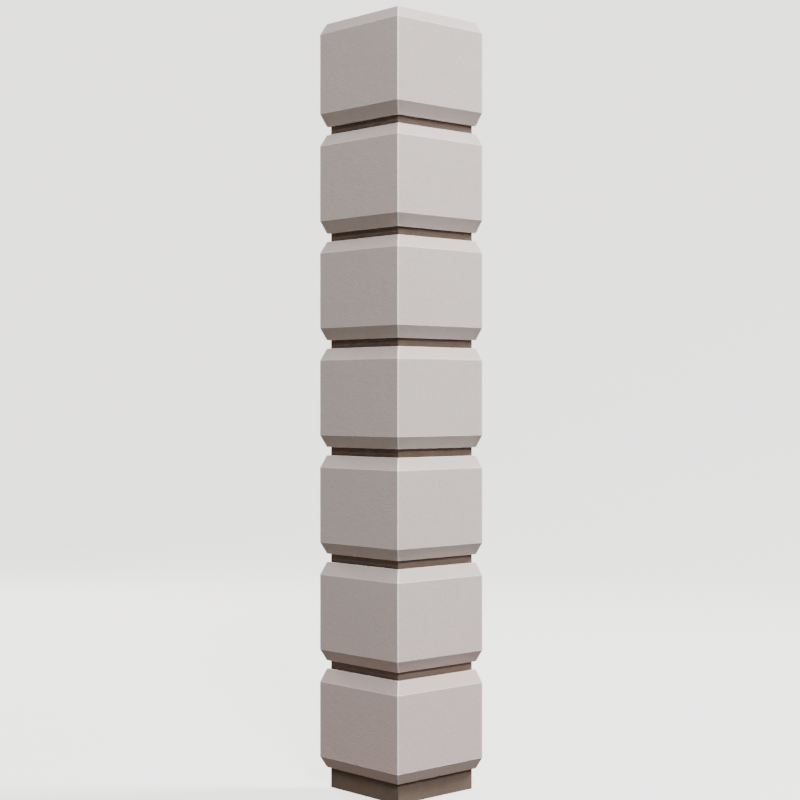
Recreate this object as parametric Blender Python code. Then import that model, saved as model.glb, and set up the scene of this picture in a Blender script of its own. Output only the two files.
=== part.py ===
"""A quoin dressing: seven L-shaped stone blocks in a vertical run on one thin backing strip.

Each block wraps an outside corner with two equal wings that meet in a sharp upright arris. A steep
chamfer runs round its top and its bottom edge and is mitred at the arris, and the ends of the wings
are cut square. Six blocks are equal, and the topmost one has a slightly taller face. The blocks keep
an open joint between them, where the strip shows, and the strip runs on below the lowest block down
to the ground.

Metres, +Z up. The face of one wing looks towards -Y and the face of the other towards +X. The origin
is on the ground, in the middle of the square that holds the two wings.
"""

import math

import bmesh
import bpy

# Driving sizes of the run
BLOCK_COUNT = 7
BLOCK_PITCH = 0.300
JOINT_HEIGHT = 0.023
FOOT_HEIGHT = 0.058
TOP_BLOCK_EXTRA = 0.013

# Driving sizes of one block
WING_LENGTH = 0.322
BLOCK_THICKNESS = 0.035
CHAMFER_RISE = 0.0335
CHAMFER_DEPTH = 0.025
ARRIS_RADIUS = 0.002
ARRIS_SEGMENTS = 2

# Driving sizes of the backing strip
STRIP_THICKNESS = 0.012
STRIP_END_INSET = 0.006

# Space left between a block's back and the strip that carries it
BEDDING_GAP = 0.0003

# An edge whose two faces turn by more than this is an arris
SHARP_ANGLE = math.radians(20.0)

# Worked out from the driving sizes
BLOCK_HEIGHT = BLOCK_PITCH - JOINT_HEIGHT
TOP_BLOCK_HEIGHT = BLOCK_HEIGHT + TOP_BLOCK_EXTRA
STRIP_HEIGHT = FOOT_HEIGHT + (BLOCK_COUNT - 1) * BLOCK_PITCH + TOP_BLOCK_HEIGHT
ARRIS_X = WING_LENGTH / 2
ARRIS_Y = -WING_LENGTH / 2


def clear_scene():
    """Remove every object, so that the script starts from an empty scene."""
    for old in list(bpy.data.objects):
        bpy.data.objects.remove(old, do_unlink=True)


def make_material(name, base_color, roughness):
    """A plain matt mineral surface."""
    material = bpy.data.materials.new(name)
    material.use_nodes = True
    shader = material.node_tree.nodes["Principled BSDF"]
    shader.inputs["Base Color"].default_value = (*base_color, 1.0)
    shader.inputs["Roughness"].default_value = roughness
    shader.inputs["Metallic"].default_value = 0.0
    return material


def block_profile(block_height):
    """Section through one wing of a block, as (depth behind the face, height) points."""
    back = BLOCK_THICKNESS - BEDDING_GAP
    return [
        (back, 0.0),
        (CHAMFER_DEPTH, 0.0),
        (0.0, CHAMFER_RISE),
        (0.0, block_height - CHAMFER_RISE),
        (CHAMFER_DEPTH, block_height),
        (back, block_height),
    ]


def strip_profile():
    """Section through one wing of the backing strip."""
    front = BLOCK_THICKNESS
    back = BLOCK_THICKNESS + STRIP_THICKNESS
    return [(back, 0.0), (front, 0.0), (front, STRIP_HEIGHT), (back, STRIP_HEIGHT)]


def carry_round_corner(profile, reach):
    """A closed solid: the profile carried along one wing, round the arris in a mitre, along the other.

    reach is how far each wing runs from the arris. The three rings of points stand at the end of the
    first wing, on the mitre and at the end of the second wing.
    """
    solid = bmesh.new()
    first_end = [solid.verts.new((ARRIS_X - reach, ARRIS_Y + depth, z)) for depth, z in profile]
    mitre = [solid.verts.new((ARRIS_X - depth, ARRIS_Y + depth, z)) for depth, z in profile]
    second_end = [solid.verts.new((ARRIS_X - depth, ARRIS_Y + reach, z)) for depth, z in profile]

    for ring, following in ((first_end, mitre), (mitre, second_end)):
        for i in range(len(profile)):
            j = (i + 1) % len(profile)
            solid.faces.new((ring[i], ring[j], following[j], following[i]))
    solid.faces.new(first_end)
    solid.faces.new(second_end)
    bmesh.ops.recalc_face_normals(solid, faces=solid.faces[:])
    return solid


def soften_arrises(solid, back_depth):
    """Round every sharp outward edge a little, apart from those that lie on the back."""

    def on_back(vertex):
        behind_first_face = vertex.co.y - ARRIS_Y
        behind_second_face = ARRIS_X - vertex.co.x
        return min(behind_first_face, behind_second_face) > back_depth - BEDDING_GAP

    def is_arris(edge):
        outward = edge.calc_face_angle_signed(0.0) > SHARP_ANGLE
        return outward and not all(on_back(vertex) for vertex in edge.verts)

    bmesh.ops.bevel(
        solid,
        geom=[edge for edge in solid.edges if is_arris(edge)],
        offset=ARRIS_RADIUS,
        segments=ARRIS_SEGMENTS,
        profile=0.5,
        affect="EDGES",
    )


def finish_mesh(solid, name, material):
    """Turn the solid into a mesh that carries its material."""
    mesh = bpy.data.meshes.new(name)
    solid.to_mesh(mesh)
    solid.free()
    mesh.materials.append(material)
    return mesh


def make_block_mesh(name, block_height, material):
    solid = carry_round_corner(block_profile(block_height), WING_LENGTH)
    soften_arrises(solid, BLOCK_THICKNESS - BEDDING_GAP)
    return finish_mesh(solid, name, material)


def make_strip_mesh(material):
    solid = carry_round_corner(strip_profile(), WING_LENGTH - STRIP_END_INSET)
    return finish_mesh(solid, "backing_strip", material)


def place(name, mesh, height):
    """Put a named object into the scene, with its underside at the given height."""
    piece = bpy.data.objects.new(name, mesh)
    piece.location.z = height
    bpy.context.collection.objects.link(piece)
    return piece


def main():
    clear_scene()
    cast_stone = make_material("cast_stone", (0.62, 0.585, 0.575), 0.85)
    brown_render = make_material("brown_render", (0.245, 0.185, 0.148), 0.9)

    place("backing_strip", make_strip_mesh(brown_render), 0.0)
    block_mesh = make_block_mesh("quoin_block", BLOCK_HEIGHT, cast_stone)
    top_block_mesh = make_block_mesh("top_quoin_block", TOP_BLOCK_HEIGHT, cast_stone)
    for course in range(BLOCK_COUNT):
        is_top = course == BLOCK_COUNT - 1
        mesh = top_block_mesh if is_top else block_mesh
        place(f"quoin_block_{course + 1}", mesh, FOOT_HEIGHT + course * BLOCK_PITCH)


main()
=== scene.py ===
# %% [markdown]
# # A quoin dressing for an outside corner
# Quoins are the blocks that dress and guard the outside corner of a building. This is a thin modern kind:
# seven L-shaped blocks of cast stone, bedded on a strip of brown render with an open joint between them.
# The solid model is loaded first as a fixed frame. Every piece then gets a finer surface worked out as
# arrays, and a finish made of noise and plain arithmetic.

# %% Load the fixed frame
import math
import bpy
import numpy as np
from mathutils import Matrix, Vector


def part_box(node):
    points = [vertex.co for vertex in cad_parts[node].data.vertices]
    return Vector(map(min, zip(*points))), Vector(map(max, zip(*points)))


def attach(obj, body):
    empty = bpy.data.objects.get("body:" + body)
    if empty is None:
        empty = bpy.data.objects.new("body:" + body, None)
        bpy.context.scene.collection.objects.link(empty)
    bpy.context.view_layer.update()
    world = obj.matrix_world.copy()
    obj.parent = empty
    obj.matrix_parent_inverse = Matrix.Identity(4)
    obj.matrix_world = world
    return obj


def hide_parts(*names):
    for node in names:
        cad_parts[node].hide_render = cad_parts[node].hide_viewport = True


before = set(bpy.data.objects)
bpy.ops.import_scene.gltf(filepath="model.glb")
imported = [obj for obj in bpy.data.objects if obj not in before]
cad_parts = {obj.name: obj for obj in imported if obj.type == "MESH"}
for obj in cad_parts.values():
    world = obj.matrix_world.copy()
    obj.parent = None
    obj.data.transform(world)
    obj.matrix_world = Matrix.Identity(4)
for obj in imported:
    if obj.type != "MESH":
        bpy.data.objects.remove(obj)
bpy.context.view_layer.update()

print("pieces in the frame:", ", ".join(sorted(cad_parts)))

# %% [markdown]
# ## Sizes
# Everything that a box around a solid can tell is read from the frame, so the surfaces can't drift away
# from the solids. Only the shape of the cross section and the softness of the edges have to be named here.
# SUPPORT is how close a row of points stands to a rounded edge, which keeps the shading flat between edges.
# END_MARGIN is how much less the wings' ends are rounded than the edges that run into them.

# %% Sizes read from the frame
BLOCK_NODES = sorted(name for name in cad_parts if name.startswith("quoin_block_"))
STRIP_NODE = "backing_strip"
BLOCK_LOW, BLOCK_HIGH = (np.array(corner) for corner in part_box(BLOCK_NODES[0]))
STRIP_LOW, STRIP_HIGH = (np.array(corner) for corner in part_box(STRIP_NODE))
BLOCK_WING = BLOCK_HIGH[0] - BLOCK_LOW[0]
STRIP_HEIGHT = STRIP_HIGH[2] - STRIP_LOW[2]
ARRIS_X = float(BLOCK_HIGH[0])
ARRIS_Y = float(BLOCK_LOW[1])
STRIP_SETBACK = ARRIS_X - STRIP_HIGH[0]
STRIP_REACH = ARRIS_X - STRIP_LOW[0]
print(f"wings {BLOCK_WING * 1000:.0f} mm, strip {STRIP_HEIGHT:.3f} m high, {len(BLOCK_NODES)} blocks")

# %% Sizes of the section and its edges, in metres
CHAMFER_RISE = 0.0335
CHAMFER_DEPTH = 0.025
BEDDING_GAP = 0.0003
STRIP_THICKNESS = 0.012
BLOCK_BACK = STRIP_SETBACK - BEDDING_GAP
STRIP_BACK = STRIP_SETBACK + STRIP_THICKNESS
STRIP_MIDDLE = (STRIP_SETBACK + STRIP_BACK) / 2
ARRIS_SOFTNESS = 0.0008
EDGE_RADIUS = 0.0013
STRIP_EDGE_RADIUS = 0.0020
END_MARGIN = 0.0001
SUPPORT = 0.0004
print(f"blocks {BLOCK_BACK * 1000:.1f} mm thick, strip {STRIP_THICKNESS * 1000:.0f} mm thick")

# %% [markdown]
# ## The camera
# The camera stands level at about chest height, a little over four metres from the upright edge of the
# blocks and almost straight in front of it, so both wings show at nearly the same slant. A 75 mm lens on a
# 36 mm sensor gives the same mild perspective: only the middle block is seen square on.

# %% Place the camera
CAMERA_AZIMUTH = math.radians(47.49)
CAMERA_DISTANCE = 4.435
CAMERA_SIDE_STEP = 0.007
CAMERA_HEIGHT = 1.0903
LENS_MM = 75.0
SENSOR_MM = 36.0


def add_camera():
    """A level camera at a distance in front of the arris, moved sideways by the side step."""
    forward = np.array([-math.sin(CAMERA_AZIMUTH), math.cos(CAMERA_AZIMUTH)])
    right = np.array([math.cos(CAMERA_AZIMUTH), math.sin(CAMERA_AZIMUTH)])
    place = np.array([ARRIS_X, ARRIS_Y]) - CAMERA_DISTANCE * forward + CAMERA_SIDE_STEP * right
    data = bpy.data.cameras.new("camera")
    data.lens = LENS_MM
    data.sensor_width = SENSOR_MM
    camera = bpy.data.objects.new("camera", data)
    camera.location = (place[0], place[1], CAMERA_HEIGHT)
    camera.rotation_euler = (math.radians(90.0), 0.0, CAMERA_AZIMUTH)
    bpy.context.scene.collection.objects.link(camera)
    bpy.context.scene.camera = camera
    return camera


camera = add_camera()
print("camera at", [round(value, 3) for value in camera.location])

# %% [markdown]
# ## Node arithmetic
# A finish is a sum of small effects, and a sum is easier to read as a line of arithmetic than as a web of
# nodes. This class holds one output of a node. Its operators add the Math nodes that work out the result,
# and its one method for other nodes sets the choices of a node first and then its sockets. A Mix node has
# sockets of the same name for numbers, vectors and colours, so the ones for colours are picked by number.

# %% The class that writes nodes
MIX_FACTOR = 0
MIX_FIRST = 6
MIX_SECOND = 7
MIX_RESULT = 2


class Link:
    """One output of a node tree. Sums, differences and products of links and numbers are links too."""

    def __init__(self, tree, socket=None):
        self.tree = tree
        self.socket = socket

    def node(self, kind, choices=None, sockets=None, out=0):
        """A new node of a kind, with its choices set before the values or links of its sockets."""
        made = self.tree.nodes.new(kind)
        for name, choice in (choices or {}).items():
            setattr(made, name, choice)
        for name, value in (sockets or {}).items():
            if isinstance(value, Link):
                self.tree.links.new(value.socket, made.inputs[name])
            else:
                made.inputs[name].default_value = value
        return Link(self.tree, made.outputs[out])

    def math(self, operation, first, second):
        """The Math node of an operation on two numbers or links."""
        return self.node("ShaderNodeMath", {"operation": operation}, {0: first, 1: second})

    def __add__(self, other):
        return self.math("ADD", self, other)

    def __radd__(self, other):
        return self.math("ADD", other, self)

    def __sub__(self, other):
        return self.math("SUBTRACT", self, other)

    def __rsub__(self, other):
        return self.math("SUBTRACT", other, self)

    def __mul__(self, other):
        return self.math("MULTIPLY", self, other)

    def __rmul__(self, other):
        return self.math("MULTIPLY", other, self)

    def part(self, letter):
        """The X, Y or Z part of a vector link."""
        return self.node("ShaderNodeSeparateXYZ", sockets={0: self}, out=letter)

    def noise(self, scale, detail=2.0, roughness=0.5):
        """A cloud pattern at a number of cells for each metre, moved so that its mean is about 0."""
        sockets = {"Vector": self, "Scale": scale, "Detail": detail, "Roughness": roughness}
        return self.node("ShaderNodeTexNoise", {"noise_dimensions": "3D"}, sockets) - 0.5

    def step(self, low, high):
        """A smooth step that is 0 below the low value and 1 above the high one."""
        sockets = {"Value": self, "From Min": low, "From Max": high}
        return self.node("ShaderNodeMapRange", {"interpolation_type": "SMOOTHSTEP"}, sockets)

    def between(self, first, second):
        """The colour between two colours, where this link is 0 at the first and 1 at the second."""
        sockets = {MIX_FACTOR: self, MIX_FIRST: first, MIX_SECOND: second}
        return self.node("ShaderNodeMix", {"data_type": "RGBA"}, sockets, MIX_RESULT)


def start_material(name):
    """A new material, a link into its empty tree, and its Principled shader node."""
    material = bpy.data.materials.new(name)
    material.use_nodes = True
    shader = material.node_tree.nodes["Principled BSDF"]
    return material, Link(material.node_tree), shader


def plug(link, shader, name):
    """Joins a link to a socket of the shader."""
    link.tree.links.new(link.socket, shader.inputs[name])


print("node arithmetic is ready")

# %% [markdown]
# ## The stage
# A studio would stand the run on a paper sweep, a floor that curves up into a backdrop with no line between
# them. From any side the same sweep should show, so here it is turned round an upright axis into a wide
# shallow bowl. It is only a backdrop: it doesn't light the stone, which keeps the faces' contrast.

# %% Turn the bowl
STAGE_HUB = 0.25
STAGE_FLAT = 6.0
STAGE_CURVE = 4.0
STAGE_RIM = 9.0
STAGE_FLAT_RINGS = 24
STAGE_CURVE_RINGS = 32
STAGE_SIDES = 128


def turned_bowl():
    """A profile turned round the upright axis, with one point at the middle.

    The profile's radius and height are (r, 0) on the flat part, then a quarter circle that starts level and
    ends upright, then a straight wall. A point at angle t lies at (r cos t, r sin t, z).
    """
    flat = np.linspace(STAGE_HUB, STAGE_FLAT, STAGE_FLAT_RINGS)
    turn = np.linspace(0.0, math.pi / 2, STAGE_CURVE_RINGS + 1)[1:]
    radius = np.concatenate([flat, STAGE_FLAT + STAGE_CURVE * np.sin(turn), [STAGE_FLAT + STAGE_CURVE]])
    height = np.concatenate([flat * 0, STAGE_CURVE * (1 - np.cos(turn)), [STAGE_RIM]])
    angle = np.linspace(0.0, 2 * math.pi, STAGE_SIDES, endpoint=False)
    rings = np.stack(
        [
            radius[:, None] * np.cos(angle),
            radius[:, None] * np.sin(angle),
            height[:, None] + 0 * angle,
        ],
        axis=-1,
    )
    points = np.concatenate([[[0.0, 0.0, 0.0]], rings.reshape(-1, 3)])
    ids = 1 + np.arange(radius.size * STAGE_SIDES).reshape(radius.size, STAGE_SIDES)
    after = np.roll(ids, -1, axis=1)
    quads = np.stack([ids[:-1], ids[1:], after[1:], after[:-1]], axis=-1).reshape(-1, 4)
    middle = np.stack([np.zeros(STAGE_SIDES, dtype=int), ids[0], after[0]], axis=-1)
    mesh = bpy.data.meshes.new("stage_bowl")
    mesh.from_pydata(points.tolist(), [], quads.tolist() + middle.tolist())
    mesh.shade_smooth()
    bowl = bpy.data.objects.new("stage_bowl", mesh)
    bpy.context.scene.collection.objects.link(bowl)
    return bowl


bowl = turned_bowl()
print("stage bowl has", len(bowl.data.polygons), "faces")

# %% Cover the bowl with paper
PAPER_DARK = (0.70, 0.685, 0.665, 1.0)
PAPER_LIGHT = (0.76, 0.745, 0.725, 1.0)
PAPER_GLOW = (1.0, 0.98, 0.96, 1.0)
PAPER_GLOW_STRENGTH = 1.9


def stage_finish():
    """Matt pale paper: a soft cloud between two near tones, and a little light of its own."""
    material, start, shader = start_material("stage_paper")
    place = start.node("ShaderNodeTexCoord", out="Object")
    cloud = place.noise(0.6) + 0.3 * place.noise(14.0)
    plug((0.5 + cloud).between(PAPER_DARK, PAPER_LIGHT), shader, "Base Color")
    shader.inputs["Roughness"].default_value = 0.95
    shader.inputs["Specular IOR Level"].default_value = 0.1
    shader.inputs["Emission Color"].default_value = PAPER_GLOW
    shader.inputs["Emission Strength"].default_value = PAPER_GLOW_STRENGTH
    return material


bowl.data.materials.append(stage_finish())
bowl.visible_diffuse = False
bowl.visible_glossy = False
bowl.visible_shadow = False
print("the bowl is covered with", bowl.data.materials[0].name)

# %% [markdown]
# ## The light
# One wide lamp would light the run, but it couldn't give faces, chamfers and wings a tone each. So three
# soft lamps share the work. One stands a little to the right of the camera and higher, and gives both wings
# their tone. The strongest hangs high on the far right: it slips past the left wing, brightens the right
# one and draws the upper chamfers. A weak one hangs overhead, so the tone falls off a little towards the
# floor. A dim surround fills the shadows, slightly rosy from above and yellowish from below, as light is
# that has come off an earthy floor. A last lamp behind keeps the hidden side readable.

# %% Hang the lamps
WHITE = (1.0, 1.0, 1.0)
CREAM = (1.0, 0.98, 0.96)
LAMPS = {
    "key_lamp": dict(azimuth=60.0, elevation=32.0, distance=9.0, size=1.8, watts=735.0, colour=WHITE),
    "high_lamp": dict(azimuth=142.0, elevation=45.0, distance=9.0, size=1.8, watts=1455.0, colour=WHITE),
    "top_lamp": dict(azimuth=30.0, elevation=75.0, distance=4.5, size=1.8, watts=42.0, colour=WHITE),
    "back_lamp": dict(azimuth=260.0, elevation=20.0, distance=6.0, size=2.4, watts=260.0, colour=CREAM),
}
AIM_HEIGHT = 1.07


def add_lamp(name, azimuth, elevation, distance, size, watts, colour):
    """A square lamp on a sphere round the middle of the run, turned to face it and unseen by the camera."""
    around = math.radians(azimuth)
    above = math.radians(elevation)
    level = math.cos(above)
    away = np.array([math.sin(around) * level, -math.cos(around) * level, math.sin(above)])
    data = bpy.data.lights.new(name, "AREA")
    data.shape = "SQUARE"
    data.size = size
    data.energy = watts
    data.color = colour
    lamp = bpy.data.objects.new(name, data)
    lamp.location = away * distance + np.array([0.0, 0.0, AIM_HEIGHT])
    lamp.rotation_euler = (math.radians(90.0) - above, 0.0, around)
    lamp.visible_camera = False
    bpy.context.scene.collection.objects.link(lamp)


for name, settings in LAMPS.items():
    add_lamp(name, **settings)
print("lamps hung:", ", ".join(LAMPS))

# %% Colour the surround
SURROUND_STRENGTH = 0.20
SURROUND_BELOW = (1.14, 1.04, 0.86, 1.0)
SURROUND_ABOVE = (0.93, 0.80, 0.76, 1.0)


def add_surround():
    """The world's light: its colour runs from yellowish below to slightly rosy above, with the height."""
    world = bpy.data.worlds.new("surround")
    world.use_nodes = True
    bpy.context.scene.world = world
    start = Link(world.node_tree)
    direction = start.node("ShaderNodeTexCoord", out="Generated")
    colour = (0.5 + 0.5 * direction.part("Z")).between(SURROUND_BELOW, SURROUND_ABOVE)
    background = world.node_tree.nodes["Background"]
    background.inputs["Strength"].default_value = SURROUND_STRENGTH
    plug(colour, background, "Color")


add_surround()
print("surround strength", SURROUND_STRENGTH)

# %% [markdown]
# ## A section carried round the corner
# A cast block comes out of its mould with the same section everywhere: a flat face, a chamfer above and
# below it, a flat back. One could model a box and bevel it, but the two chamfers have to meet in a clean
# mitre at the outside corner. So the outline of the section is drawn once and carried along one wing, round
# the corner and along the other. The curve at the corner comes from a fourth root, which turns smoothly from
# one wing into the other and leaves both straight.

# %% Draw half of a section's outline
ARC_STEPS = 4
BLOCK_SPACING = 0.004
SAME_PLACE = 1e-7
BACK_TRIES = 40


def soft_chain(corners, radius, spacing):
    """Points and outward directions along a chain of corners that turn to the right, each one rounded.

    The circle that rounds a corner touches both of its sides: its centre is the corner, moved inwards by
    radius * (n1 + n2) / (1 + n1 . n2), where n1 and n2 are the sides' outward directions. A straight side
    has even points, and one more close to each of its ends, so that shading stays flat between the curves.
    """
    corners = np.array(corners)
    along = np.diff(corners, axis=0)
    along /= np.linalg.norm(along, axis=1)[:, None]
    outward = np.stack([-along[:, 1], along[:, 0]], axis=1)
    points = []
    directions = []
    start = corners[0]
    for corner, before, after in zip(corners[1:-1], outward[:-1], outward[1:]):
        angle = math.acos(before @ after)
        part = np.linspace(0.0, 1.0, ARC_STEPS + 1)[:, None]
        arc = (np.sin((1 - part) * angle) * before + np.sin(part * angle) * after) / math.sin(angle)
        round_points = corner - radius * (before + after) / (1 + before @ after) + radius * arc
        side = straight_side(start, round_points[0], spacing)
        points += [side, round_points[1:]]
        directions += [np.repeat(before[None], len(side), axis=0), arc[1:]]
        start = round_points[-1]
    side = straight_side(start, corners[-1], spacing)
    points.append(side)
    directions.append(np.repeat(outward[-1][None], len(side), axis=0))
    points = np.concatenate(points)
    directions = np.concatenate(directions)
    fresh = np.append(True, np.linalg.norm(np.diff(points, axis=0), axis=1) > SAME_PLACE)
    return points[fresh], directions[fresh]


def straight_side(start, end, spacing):
    """Points from start to end: both ends, one close to each, and even ones between those."""
    length = np.linalg.norm(end - start)
    count = max(2, round((length - 2 * SUPPORT) / spacing) + 1)
    places = np.concatenate([[0.0], np.linspace(SUPPORT, length - SUPPORT, count), [length]])
    return start + places[:, None] * (end - start) / length


def section(front_corners, back_corners, radius, spacing):
    """The closed outline of a section: a front and a back half with the same number of points.

    The back half is tried with wider and wider spacings until it has as many points as the front half.
    """
    front, front_out = soft_chain(front_corners, radius, spacing)
    long_side = abs(back_corners[1][1] - back_corners[2][1])
    tries = [long_side / (len(front) - skip) for skip in range(BACK_TRIES)]
    halves = [soft_chain(back_corners, radius, width) for width in tries]
    back, back_out = next(half for half in halves if len(half[0]) == len(front))
    outline = np.concatenate([front[:-1], back[:-1]])
    outward = np.concatenate([front_out[:-1], back_out[:-1]])
    corners = np.array(front_corners[1:-1] + back_corners[1:-1])
    to_corner = np.linalg.norm(outline[:, None] - corners[None], axis=-1).min(axis=1)
    return outline, outward, to_corner


def block_section(height):
    """The section of a block of some height: a flat face between two chamfers, and a flat back."""
    middle = (CHAMFER_DEPTH + BLOCK_BACK) / 2
    front = [
        (middle, 0.0),
        (CHAMFER_DEPTH, 0.0),
        (0.0, CHAMFER_RISE),
        (0.0, height - CHAMFER_RISE),
        (CHAMFER_DEPTH, height),
        (middle, height),
    ]
    back = [(middle, height), (BLOCK_BACK, height), (BLOCK_BACK, 0.0), (middle, 0.0)]
    return section(front, back, EDGE_RADIUS, BLOCK_SPACING)


print("the block's outline has", len(block_section(BLOCK_HIGH[2] - BLOCK_LOW[2])[0]), "points")

# %% Carry it round
FINE_BAND = 0.006
FINE_STEPS = 8


def stations(wing, radius, spacing):
    """Where the outline is set along the run, and how far it is drawn in there to round the ends.

    The reach is 0 on the mitre and plus or minus the wing's length at the ends. Over the last stretch it is
    wing - radius * (1 - sin t) and the outline is drawn in by radius * (1 - cos t), a quarter circle.
    """
    near = np.linspace(0.0, FINE_BAND, FINE_STEPS + 1)
    straight_end = wing - radius
    count = round((straight_end - SUPPORT - FINE_BAND) / spacing)
    along = np.linspace(FINE_BAND, straight_end - SUPPORT, count + 1)[1:]
    turn = np.linspace(0.0, math.pi / 2, ARC_STEPS + 1)
    reach = np.concatenate([near, along, straight_end + radius * np.sin(turn)])
    drawn_in = np.concatenate([near * 0, along * 0, radius * (1 - np.cos(turn))])
    return np.concatenate([-reach[:0:-1], reach]), np.concatenate([drawn_in[:0:-1], drawn_in])


def carried(outline, outward, reach, drawn_in, wing, base):
    """The outline set at every station, as points in space.

    With q the depth behind the face and s = reach * (1 - q / wing), the distances behind the two faces are
    q + (root + s) / 2 and q + (root - s) / 2, where root is the fourth root of s ** 4 + softness ** 4.
    """
    depth = outline[:, 0] - drawn_in * outward[:, 0]
    height = outline[:, 1] - drawn_in * outward[:, 1]
    along = reach[:, None] * (1 - depth / wing)
    root = (along**4 + ARRIS_SOFTNESS**4) ** 0.25
    x = ARRIS_X - depth - (root + along) / 2
    y = ARRIS_Y + depth + (root - along) / 2
    return np.stack([x, y, height + base], axis=-1), along


print("rings along a block:", len(stations(BLOCK_WING, EDGE_RADIUS, BLOCK_SPACING)[0]))

# %% [markdown]
# ## A surface that isn't perfect
# A cast face looks flat but is never quite even, and that slow unevenness is what a low light picks out.
# A noise texture on a modifier could give it. But a sum of sine waves in many directions is only one line
# of numpy, it is smooth everywhere, and it lands in the mesh itself. Each block has its own number to start
# the sum from, so no two are alike.

# %% Work out the unevenness
WAVES = 28
SWELL_DEPTH = 0.00022
SWELL_WAVELENGTH = 0.085
RIPPLE_DEPTH = 0.00010
RIPPLE_WAVELENGTH = 0.019
DIP_DEPTH = 0.00045
DIP_WAVELENGTH = 0.024
DIP_REACH = 0.0022


def unevenness(points, wavelength, seed):
    """A smooth field from about -1 to 1: the sum of sine waves of random direction, length and phase."""
    draw = np.random.default_rng(seed)
    direction = draw.normal(size=(WAVES, 3))
    direction /= np.linalg.norm(direction, axis=1)[:, None]
    number = 2 * math.pi / (wavelength * draw.uniform(0.7, 1.5, WAVES))
    phase = draw.uniform(0.0, 2 * math.pi, WAVES)
    waves = np.sin(points @ (direction * number[:, None]).T + phase)
    return np.clip(waves.sum(axis=-1) / math.sqrt(2 * WAVES), -1.0, 1.0)


def half_up(field):
    """The field moved from -1..1 to 0..1."""
    return 0.5 + 0.5 * field


def block_relief(points, edge, seed):
    """How deep the surface lies under the mould's true face, in metres.

    A slow swell, a shorter ripple, and on the arrises small worn dips that fade within a few millimetres.
    """
    swell = SWELL_DEPTH * half_up(unevenness(points, SWELL_WAVELENGTH, seed))
    ripple = RIPPLE_DEPTH * half_up(unevenness(points, RIPPLE_WAVELENGTH, seed + 1))
    dips = np.clip(unevenness(points, DIP_WAVELENGTH, seed + 2) - 0.1, 0.0, 1.0)
    worn = DIP_DEPTH * dips * np.exp(-((edge / DIP_REACH) ** 2))
    return swell + ripple + worn


print(f"relief of a block is under {1000 * (SWELL_DEPTH + RIPPLE_DEPTH + DIP_DEPTH):.2f} mm")

# %% [markdown]
# ## From arrays to a closed piece
# The rings make a tube with an L-shaped way through space, and its two ends are still open. Each end is
# closed with a small grid whose rows join the front half of the last ring to the back half, because one big
# polygon would shade badly. A narrow polygon closes the top and the bottom of the end, where the rows would
# lie flat on each other. Every point also keeps its distance to the nearest edge, for a paler band that is
# partly wear and partly a painted highlight. Each kind of edge has a factor that this distance is multiplied
# by, so a small factor widens the band: the arris most of all on its lit side, where the band is a painted
# highlight as well as wear, and hardly on the other, then the wings' ends, then the chamfers' edges.

# %% Build a closed mesh
CAP_COLUMNS = np.array([0.0, 0.02, 0.26, 0.5, 0.74, 0.98, 1.0])
# How far the paler edge band reaches: partly wear, partly a painted highlight, widest on the arris's lit
# side.
PALE_EDGE_LIT_SIDE = 0.34
PALE_EDGE_SHADED_SIDE = 4.0
PALE_EDGE_END = 0.5
PALE_EDGE_CHAMFER = 1.5
FAR_FROM_EDGES = 0.01
SAME_HEIGHT = 1e-6


def tube_faces(ids):
    """Four-sided faces between each ring of point numbers and the next one, closed round the ring."""
    after = np.roll(ids, -1, axis=1)
    return np.stack([ids[:-1], after[:-1], after[1:], ids[1:]], axis=-1).reshape(-1, 4)


def end_cap(ring, ring_ids, first_id, turned):
    """The points and faces that close one end of the tube."""
    half = len(ring) // 2
    rows = np.arange(half + 1)
    front = rows
    back = (len(ring) - rows) % len(ring)
    flat = int(np.argmax(np.abs(ring[:, 2] - ring[0, 2]) > SAME_HEIGHT))
    inner = rows[flat : half + 1 - flat]
    weight = CAP_COLUMNS[None, 1:-1, None]
    new = (1 - weight) * ring[front[inner], None] + weight * ring[back[inner], None]
    new_ids = first_id + np.arange(new.shape[0] * new.shape[1]).reshape(new.shape[:2])
    ids = np.column_stack([ring_ids[front[inner]], new_ids, ring_ids[back[inner]]])
    quads = np.stack([ids[:-1, :-1], ids[:-1, 1:], ids[1:, 1:], ids[1:, :-1]], axis=-1).reshape(-1, 4)
    low = np.concatenate([ring_ids[front[:flat]], ids[0], ring_ids[back[1:flat]][::-1]])
    high = np.concatenate(
        [ring_ids[back[half + 1 - flat : half + 1]], ring_ids[front[half + 1 - flat : half]][::-1], ids[-1]]
    )
    faces = quads.tolist() + [low[::-1].tolist(), high.tolist()]
    if turned:
        faces = [face[::-1] for face in faces]
    return new.reshape(-1, 3), faces


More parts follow.
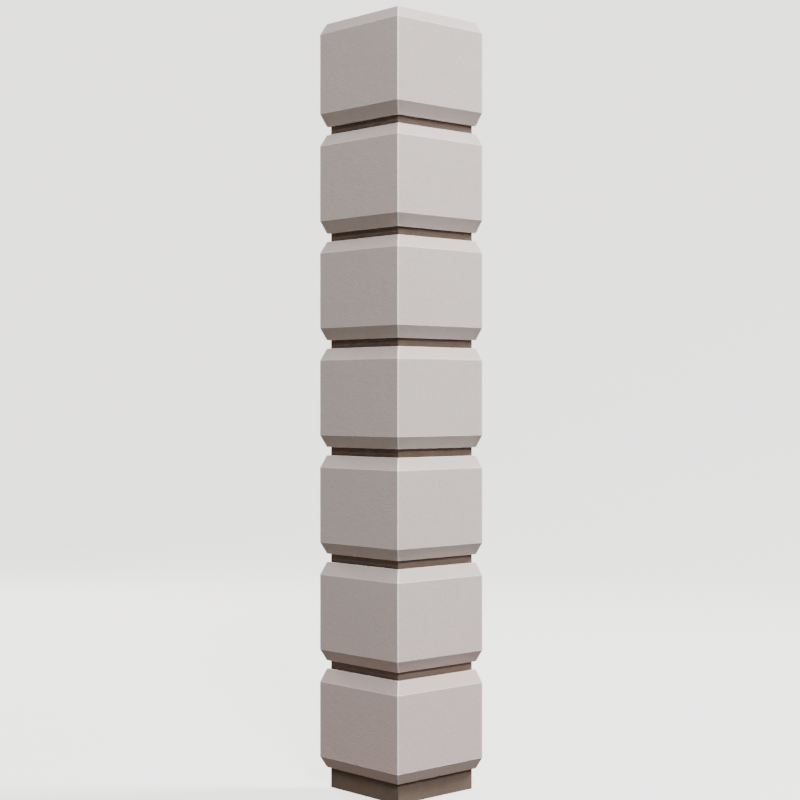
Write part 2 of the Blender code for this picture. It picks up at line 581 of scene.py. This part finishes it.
def closed_piece(name, shape, wing, base, radius, spacing, relief, seed):
    """A closed mesh object of a section carried round the corner, with its relief and its edge attribute.

    The relief is multiplied by 1 - drawn_in / radius. So it fades where the ends are rounded, because there
    the corners of the outline have no room left to be drawn in further.
    """
    outline, outward, to_corner = shape
    reach, round_in = stations(wing, radius, spacing)
    true_points, along = carried(outline, outward, reach, round_in[:, None], wing, base)
    # On the arris the band is widest on the lit wing, where its paler colour is a painted highlight as well
    # as wear.
    to_arris = np.where(along < 0, PALE_EDGE_LIT_SIDE * -along, PALE_EDGE_SHADED_SIDE * along)
    to_end = PALE_EDGE_END * np.abs(wing - np.abs(reach))[:, None]
    edge = np.minimum(np.minimum(to_arris, to_end), PALE_EDGE_CHAMFER * to_corner[None])
    fading = 1 - round_in[:, None] / radius
    depth_in = round_in[:, None] + fading * relief(true_points, edge, seed)
    tube, _ = carried(outline, outward, reach, depth_in, wing, base)
    ids = np.arange(edge.size).reshape(edge.shape)
    points = [tube.reshape(-1, 3)]
    edges = [edge.reshape(-1)]
    faces = tube_faces(ids).tolist()
    count = edge.size
    for ring_number, turned in ((0, False), (-1, True)):
        cap_points, cap_faces = end_cap(tube[ring_number], ids[ring_number], count, turned)
        points.append(cap_points)
        edges.append(np.full(len(cap_points), FAR_FROM_EDGES))
        faces += cap_faces
        count += len(cap_points)
    mesh = bpy.data.meshes.new(name)
    mesh.from_pydata(np.concatenate(points).tolist(), [], faces)
    mesh.attributes.new("arris", "FLOAT", "POINT").data.foreach_set("value", np.concatenate(edges))
    mesh.shade_smooth()
    piece = bpy.data.objects.new(name, mesh)
    bpy.context.scene.collection.objects.link(piece)
    return piece


def measure(piece):
    """The number of triangles of a closed mesh, and the litres that it holds."""
    mesh = piece.data
    mesh.calc_loop_triangles()
    corners = np.empty(len(mesh.loop_triangles) * 3, dtype=np.int32)
    mesh.loop_triangles.foreach_get("vertices", corners)
    places = np.empty(len(mesh.vertices) * 3)
    mesh.vertices.foreach_get("co", places)
    a, b, c = places.reshape(-1, 3)[corners.reshape(-1, 3)].transpose(1, 0, 2)
    return len(a), 1000 * np.einsum("ij,ij->i", a, np.cross(b, c)).sum() / 6


print("pieces can be built")

# %% [markdown]
# ## Cast stone
# Cast stone is crushed stone and white cement, and its face shows three things at three sizes: slow clouds
# where the mix was wetter or drier, a mottling of a finger's width that is greyer in patches, and the sand
# itself. A picture wrapped round the block could show them, but it would smear on the chamfers. The patterns
# here are fields on the object's own coordinates in metres, so they go through the block as the real mix
# does. The sand and a few pinholes also press into the surface. Wear rubs the arrises smoother, and they are
# painted paler, partly as wear and partly as a painted highlight, widest on the arris's lit side. The lowest
# blocks are tinted darker and pinker towards the ground, and the bottom chamfer of the lowest one is painted
# paler and warmer: painted light, in place of light bounced up from the floor.

# %% Mix the cast stone
STONE_LIGHT = (0.725, 0.626, 0.606, 1.0)
STONE_DARK = (0.603, 0.518, 0.500, 1.0)
STONE_GREY = (0.622, 0.588, 0.554, 1.0)
# Paler colour of the edges: wear, and a painted highlight along the lit side of the arris.
STONE_WORN_AND_HIGHLIGHT = (0.900, 0.845, 0.825, 1.0)
STONE_HOLE = (0.300, 0.270, 0.245, 1.0)
# A darker, pinker tint towards the ground on the lowest blocks.
STONE_LOW_TINT = (0.685, 0.470, 0.467, 1.0)
# Painted light: the lowest block's bottom chamfer is painted paler and warmer, in place of light bounced up
# from the floor.
STONE_PAINTED_BOUNCE = (0.950, 0.800, 0.700, 1.0)
LOWEST_CREASE = BLOCK_LOW[2] + CHAMFER_RISE
CREASE_BLUR = 0.006
LOW_TINT_UNTIL = (0.10, 0.75)
PALE_EDGE_UNTIL = (0.0012, 0.0022)
HOLE_CELLS = 78.0


def cast_stone_finish():
    """Off-white cast stone: clouds, mottling and sand, a darker pinker tint low down, painted bounce light
    on the lowest chamfer, arrises painted paler as wear and highlight, and a few pinholes.
    """
    material, start, shader = start_material("cast_stone_finish")
    place = start.node("ShaderNodeTexCoord", out="Object")
    clouds = place.noise(5.5, 3.0)
    mottle = place.noise(42.0, 4.0, 0.6)
    grain = place.noise(170.0, 2.0, 0.6)
    sand = place.noise(520.0, 2.0, 0.6)
    edge = start.node("ShaderNodeAttribute", {"attribute_name": "arris"}, out="Fac")
    # Paler, smoother edges: partly wear, partly a painted highlight on the arris's lit side.
    wear_and_highlight = (1.0 - edge.step(*PALE_EDGE_UNTIL)) * (0.90 + 0.9 * place.noise(60.0))
    cells = {"Vector": place, "Scale": HOLE_CELLS}
    to_hole = start.node("ShaderNodeTexVoronoi", {"feature": "F1"}, cells, "Distance")
    chance = start.node("ShaderNodeTexVoronoi", {"feature": "F1"}, cells, "Color")
    picked = start.node("ShaderNodeSeparateColor", sockets={0: chance}).step(0.86, 0.90)
    hole = (1.0 - to_hole.step(0.030, 0.085)) * picked
    tone = 0.5 + 0.60 * clouds + 0.60 * mottle + 0.15 * grain + 0.40 * sand
    stone = tone.between(STONE_DARK, STONE_LIGHT)
    stone = (0.28 + 2.4 * place.noise(34.0, 3.0, 0.6)).between(stone, STONE_GREY)
    z = place.part("Z")
    # The lowest blocks turn darker and pinker towards the ground.
    low_tint = 1.0 - (z + 0.1 * clouds).step(*LOW_TINT_UNTIL)
    # Painted bounce light on the lowest block's bottom chamfer, below its crease.
    painted_bounce = 1.0 - z.step(LOWEST_CREASE - CREASE_BLUR, LOWEST_CREASE + CREASE_BLUR)
    stone = (0.4 * low_tint).between(stone, STONE_LOW_TINT)
    stone = (0.22 * painted_bounce).between(stone, STONE_PAINTED_BOUNCE)
    stone = wear_and_highlight.between(stone, STONE_WORN_AND_HIGHLIGHT)
    stone = (0.6 * hole).between(stone, STONE_HOLE)
    plug(stone, shader, "Base Color")
    plug(0.86 + 0.10 * mottle + 0.12 * sand - 0.35 * wear_and_highlight, shader, "Roughness")
    height = 0.00044 * mottle + 0.00074 * grain + 0.00024 * sand - 0.0006 * hole
    bump = start.node("ShaderNodeBump", sockets={"Strength": 1.0, "Distance": 1.0, "Height": height})
    plug(bump, shader, "Normal")
    shader.inputs["Specular IOR Level"].default_value = 0.3
    return material


CAST_STONE = cast_stone_finish()
print("cast stone has", len(CAST_STONE.node_tree.nodes), "nodes")

# %% [markdown]
# ## The seven blocks
# One function makes them all. Where a block stands and how high it is come from its solid's box: six are
# equal, and the topmost is a little taller. The number that starts its unevenness is its own as well. Each
# one stands for its solid in the frame and rides with it.

# %% Cast the blocks
BLOCK_SEED = 100
SEED_STEP = 10
for number, node in enumerate(BLOCK_NODES):
    low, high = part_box(node)
    block = closed_piece(
        name=f"cast_block_{number + 1}",
        shape=block_section(high[2] - low[2]),
        wing=BLOCK_WING,
        base=low[2],
        radius=EDGE_RADIUS - END_MARGIN,
        spacing=BLOCK_SPACING,
        relief=block_relief,
        seed=BLOCK_SEED + SEED_STEP * number,
    )
    block.data.materials.append(CAST_STONE)
    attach(block, "root")
    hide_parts(node)
    triangles, litres = measure(block)
    print(f"{block.name}: {triangles} triangles, {litres:.3f} litres")

# %% [markdown]
# ## Brown render
# The strip behind the blocks is coated with a sanded render, the earthy ground that the pale blocks stand
# out from. It shows in the open joints and under the lowest block. Its grain is coarser than the stone's,
# and its colour a little uneven. Just above each block's ledge the render is painted darker, a painted shade
# in place of the shadow under the block above, most on the left wing, which lies in shade. The lower joints
# are painted paler, painted light where the lamps leave them too dark. One could paint these marks by hand.
# But the painted shade repeats with the blocks, so the height alone gives it: what is left of it after whole
# pitches is the height above a ledge.

# %% Mark where shade and light are painted on the render
BLOCK_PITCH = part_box(BLOCK_NODES[1])[0][2] - BLOCK_LOW[2]
# Painted shade: a darker band on the render just above each ledge, stronger on the shaded left wing.
PAINTED_SHADE_HEIGHT = 0.017
PAINTED_SHADE_RIGHT = 0.35
PAINTED_SHADE_LEFT = 0.80
PAINTED_SHADE_FROM = (0.10, 0.20)
# Painted light: the lower joints are painted paler where the lamps leave them dark.
PAINTED_LIGHT_STRENGTH = 0.6
PAINTED_LIGHT_FROM = (0.06, 0.25)
PAINTED_LIGHT_UNTIL = (0.42, 0.85)


def painted_shade_and_light(place, mottle):
    """How strong the painted shade above each ledge and the painted light in the lower joints are on the
    front of the strip, each from 0 to 1.

    The foot has no ledge under it, so the painted shade and the painted light both begin above it.
    """
    x, y, z = (place.part(letter) for letter in "XYZ")
    behind_right = ARRIS_X - x
    behind_left = y - ARRIS_Y
    nearest = place.math("MINIMUM", behind_right, behind_left)
    in_front = 1.0 - nearest.step(STRIP_MIDDLE - 0.002, STRIP_MIDDLE)
    above_ledge = place.math("FLOORED_MODULO", z - BLOCK_HIGH[2], BLOCK_PITCH) + 0.008 * mottle
    on_left = (behind_right - behind_left).step(-0.002, 0.002)
    strength = PAINTED_SHADE_RIGHT + (PAINTED_SHADE_LEFT - PAINTED_SHADE_RIGHT) * on_left
    # Painted shade: darker render just above each ledge, stronger on the left wing.
    ledge_shade = strength * (1.0 - above_ledge.step(0.0, PAINTED_SHADE_HEIGHT)) * z.step(*PAINTED_SHADE_FROM)
    # Painted light: paler render in the lower joints.
    joint_light = PAINTED_LIGHT_STRENGTH * z.step(*PAINTED_LIGHT_FROM) * (1.0 - z.step(*PAINTED_LIGHT_UNTIL))
    return ledge_shade * in_front, joint_light * in_front


print(f"painted_shade {PAINTED_SHADE_HEIGHT * 1000:.0f} mm high above a ledge every {BLOCK_PITCH * 1000:.0f} mm")

# %% Mix the render
RENDER_LIGHT = (0.215, 0.163, 0.129, 1.0)
RENDER_DARK = (0.130, 0.094, 0.073, 1.0)
RENDER_PAINTED_SHADE = (0.055, 0.041, 0.032, 1.0)
RENDER_PAINTED_LIGHT = (0.300, 0.235, 0.190, 1.0)


def brown_render_finish():
    """Sanded brown render: clouds, a trowel's mottling and coarse sand, then painted light in the lower
    joints and painted shade above each ledge.
    """
    material, start, shader = start_material("brown_render_finish")
    place = start.node("ShaderNodeTexCoord", out="Object")
    clouds = place.noise(4.0, 3.0)
    mottle = place.noise(30.0, 4.0, 0.6)
    sand = place.noise(420.0, 2.0, 0.6)
    tone = 0.5 + 0.7 * clouds + 0.6 * mottle + 1.1 * sand
    ledge_shade, joint_light = painted_shade_and_light(place, mottle)
    render = tone.between(RENDER_DARK, RENDER_LIGHT)
    # Painted light in the lower joints.
    render = joint_light.between(render, RENDER_PAINTED_LIGHT)
    # Painted shade above each ledge.
    render = ledge_shade.between(render, RENDER_PAINTED_SHADE)
    plug(render, shader, "Base Color")
    plug(0.90 + 0.15 * sand, shader, "Roughness")
    height = 0.0004 * mottle + 0.0005 * sand
    bump = start.node("ShaderNodeBump", sockets={"Strength": 1.0, "Distance": 1.0, "Height": height})
    plug(bump, shader, "Normal")
    shader.inputs["Specular IOR Level"].default_value = 0.25
    return material


BROWN_RENDER = brown_render_finish()
print("brown render has", len(BROWN_RENDER.node_tree.nodes), "nodes")

# %% Lay the strip
STRIP_SPACING = 0.0065
STRIP_SEED = 500
COAT_SWELL_DEPTH = 0.0003
COAT_SWELL_WAVELENGTH = 0.16
COAT_GRAIN_DEPTH = 0.0003
COAT_GRAIN_WAVELENGTH = 0.021


def strip_relief(points, edge, seed):
    """A hand-floated coat: a slow swell, and the dips between coarser grains, in metres."""
    swell = COAT_SWELL_DEPTH * half_up(unevenness(points, COAT_SWELL_WAVELENGTH, seed))
    grains = COAT_GRAIN_DEPTH * half_up(unevenness(points, COAT_GRAIN_WAVELENGTH, seed + 1))
    return swell + grains


strip_front = [
    (STRIP_MIDDLE, 0.0),
    (STRIP_SETBACK, 0.0),
    (STRIP_SETBACK, STRIP_HEIGHT),
    (STRIP_MIDDLE, STRIP_HEIGHT),
]
strip_back = [
    (STRIP_MIDDLE, STRIP_HEIGHT),
    (STRIP_BACK, STRIP_HEIGHT),
    (STRIP_BACK, 0.0),
    (STRIP_MIDDLE, 0.0),
]
strip = closed_piece(
    name="render_strip",
    shape=section(strip_front, strip_back, STRIP_EDGE_RADIUS, STRIP_SPACING),
    wing=STRIP_REACH,
    base=STRIP_LOW[2],
    radius=STRIP_EDGE_RADIUS - END_MARGIN,
    spacing=STRIP_SPACING,
    relief=strip_relief,
    seed=STRIP_SEED,
)
strip.data.materials.append(BROWN_RENDER)
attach(strip, "root")
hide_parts(STRIP_NODE)
triangles, litres = measure(strip)
print(f"{strip.name}: {triangles} triangles, {litres:.3f} litres")
